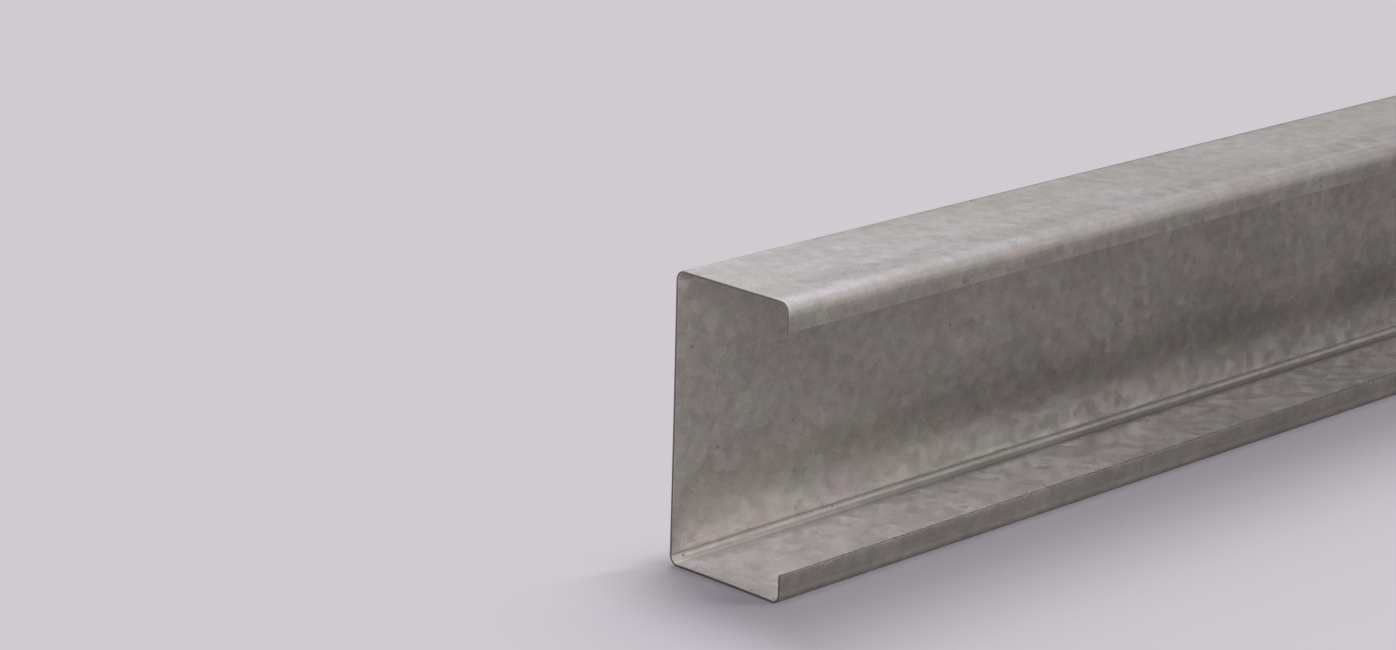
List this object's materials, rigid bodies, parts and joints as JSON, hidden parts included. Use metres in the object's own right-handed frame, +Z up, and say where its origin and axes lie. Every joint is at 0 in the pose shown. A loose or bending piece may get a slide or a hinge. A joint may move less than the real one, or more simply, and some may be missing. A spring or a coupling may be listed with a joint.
{
  "type": "steel c purlin",
  "caption": "Cold-rolled galvanised steel C purlin: a lipped channel with plain square ends, laid across rafters or posts to carry roof or wall sheeting.",
  "frame": {"origin": "on the plane the purlin stands on, under the middle of its bounding box", "axes": "+Y along the length, +Z up along the web's depth, +X from the web towards the open side and the lips"},
  "size_m": [0.1, 3, 0.2],
  "materials": {
    "galvanised_steel": "dull hot-dip galvanised sheet with a fine spangle, slightly weathered"
  },
  "bodies": {
    "root": {"c_purlin": "galvanised_steel"}
  },
  "joints": []
}
